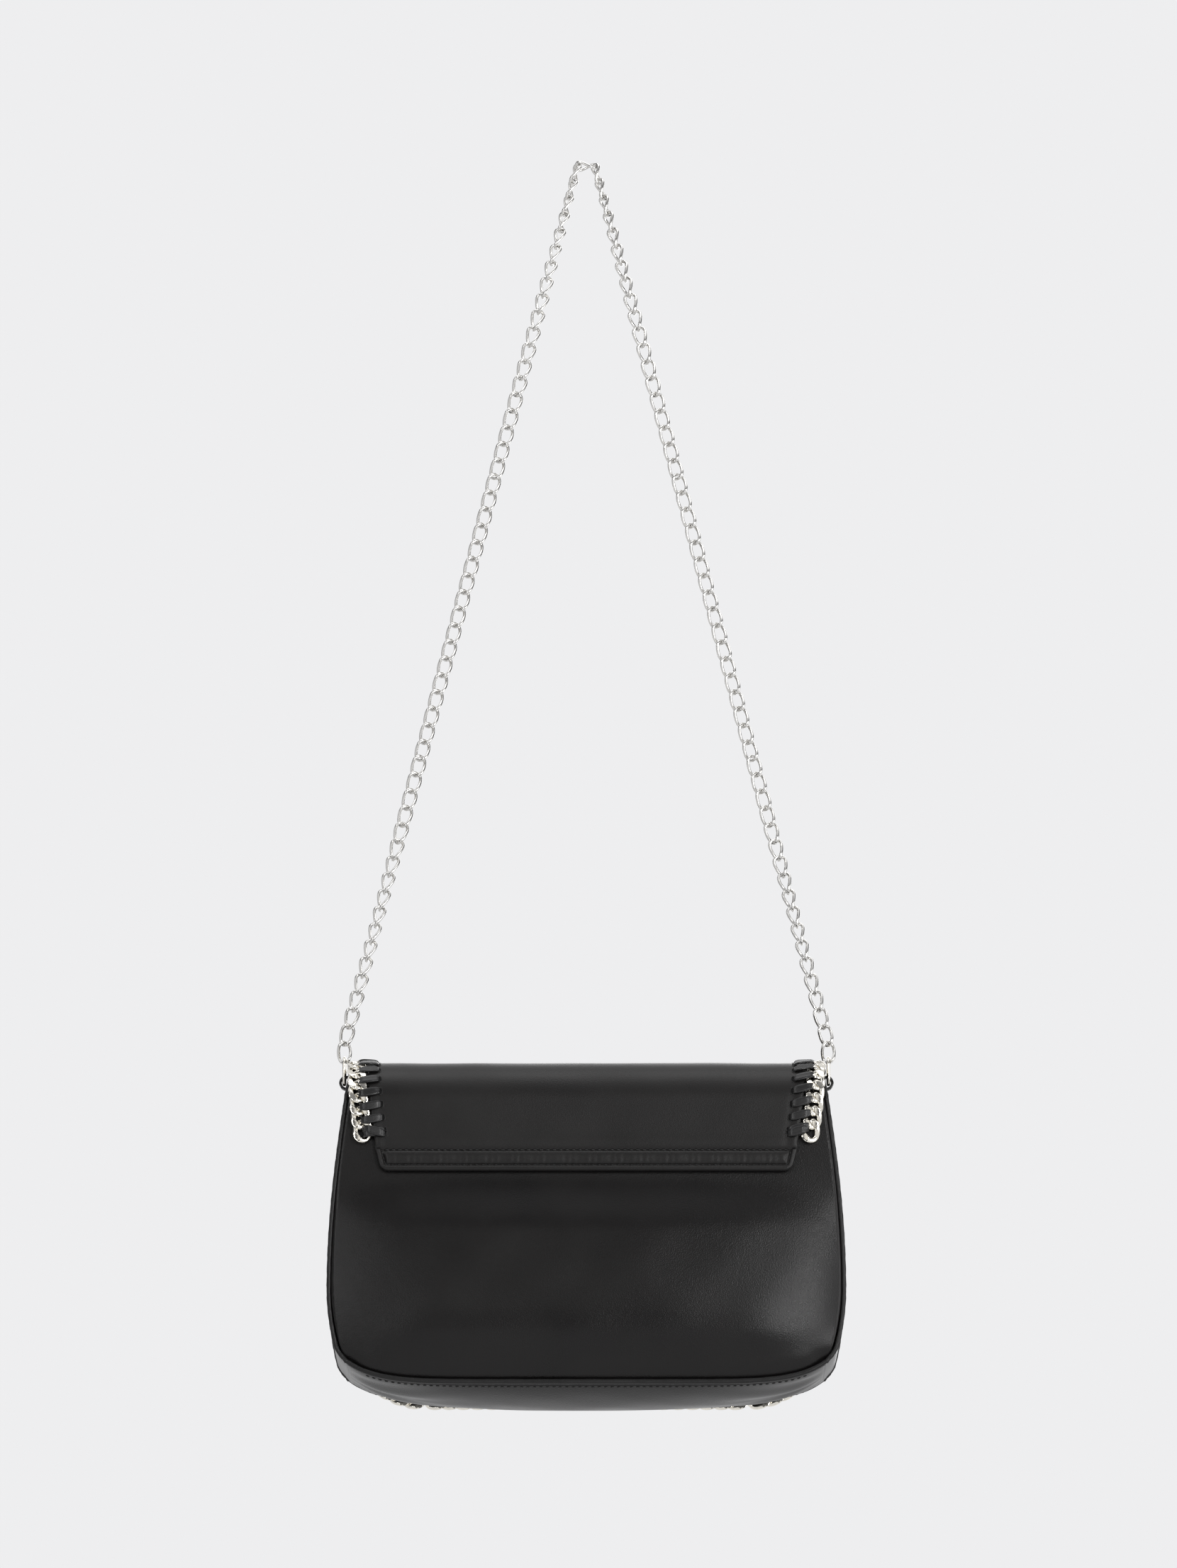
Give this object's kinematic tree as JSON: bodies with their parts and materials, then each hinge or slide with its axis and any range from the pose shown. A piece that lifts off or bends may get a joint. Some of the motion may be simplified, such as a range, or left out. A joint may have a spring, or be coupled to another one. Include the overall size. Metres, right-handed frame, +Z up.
{
  "type": "chain strap flap bag",
  "caption": "Small leather shoulder bag hanging from a peg by a curb-chain strap, with a flap that wraps over the top and a chain whipped with lace along its edge",
  "frame": {"origin": "the point where the peg carries the strap, on the underside of the strap's topmost link and in the middle of the strap", "axes": "+X to the right seen from the back, where the flap is sewn on; +Y from that back to the front that the flap closes over; +Z up along the hanging strap"},
  "size_m": [0.2488, 0.0734, 0.6221],
  "materials": {
    "strap_chain": "bright silver plating on round wire",
    "edge_chain": "pale warm nickel with flat cut facets",
    "snap": "polished nickel",
    "leather": "smooth black leather with a fine grain and a low sheen",
    "piping": "black leather stretched over cord",
    "lace": "flat black leather lace with a soft sheen",
    "lining": "matt black woven lining"
  },
  "bodies": {
    "strap_top": {"strap_top_links": "strap_chain"},
    "strap_upper": {"strap_upper_left": "strap_chain", "strap_upper_right": "strap_chain"},
    "strap_middle": {"strap_middle_left": "strap_chain", "strap_middle_right": "strap_chain"},
    "strap_lower": {"strap_lower_left": "strap_chain", "strap_lower_right": "strap_chain", "connector_left": "strap_chain", "connector_right": "strap_chain"},
    "bag_body": {"back_panel": "leather", "front_panel": "leather", "gusset_left": "leather", "gusset_right": "leather", "gusset_bottom": "leather", "piping_back_left": "piping", "piping_back_right": "piping", "piping_front_left": "piping", "piping_front_right": "piping", "hem_welt_back": "piping", "hem_welt_front": "piping", "lining": "lining", "flap_back": "leather", "flap_band": "leather", "snap_socket": "snap", "strap_tab_left": "leather", "strap_tab_right": "leather", "edge_chain_back_left": "edge_chain", "edge_chain_back_right": "edge_chain", "lace_back_left": "lace", "lace_back_right": "lace"},
    "flap_top": {"flap_top": "leather", "edge_chain_top_left": "edge_chain", "edge_chain_top_right": "edge_chain", "lace_top_left": "lace", "lace_top_right": "lace"},
    "flap_front": {"flap_front": "leather", "flap_lining": "lining", "snap_stud": "snap", "edge_chain_front_left": "edge_chain", "edge_chain_front_right": "edge_chain", "edge_chain_front_bottom": "edge_chain", "lace_front_left": "lace", "lace_front_right": "lace", "lace_front_bottom": "lace"}
  },
  "joints": [
    {"name": "strap_upper_swing", "type": "hinge", "parent": "strap_top", "child": "strap_upper", "pos_m": [0, 0, -0.00729], "axis": [-1, 0, 0], "range_deg": [-20, 20]},
    {"name": "strap_middle_swing", "type": "hinge", "parent": "strap_upper", "child": "strap_middle", "pos_m": [0, 0, -0.15685], "axis": [-1, 0, 0], "range_deg": [-20, 20]},
    {"name": "strap_lower_swing", "type": "hinge", "parent": "strap_middle", "child": "strap_lower", "pos_m": [0, 0, -0.29807], "axis": [-1, 0, 0], "range_deg": [-20, 20]},
    {"name": "bag_swing", "type": "hinge", "parent": "strap_lower", "child": "bag_body", "pos_m": [0, 0, -0.4562], "axis": [-1, 0, 0], "range_deg": [-45, 45]},
    {"name": "flap_lift", "type": "hinge", "parent": "bag_body", "child": "flap_top", "pos_m": [0, 0.004, -0.4515], "axis": [1, 0, 0], "range_deg": [0, 85]},
    {"name": "flap_fold_back", "type": "hinge", "parent": "flap_top", "child": "flap_front", "pos_m": [0, 0.0293, -0.4737], "axis": [1, 0, 0], "range_deg": [0, 100]}
  ]
}
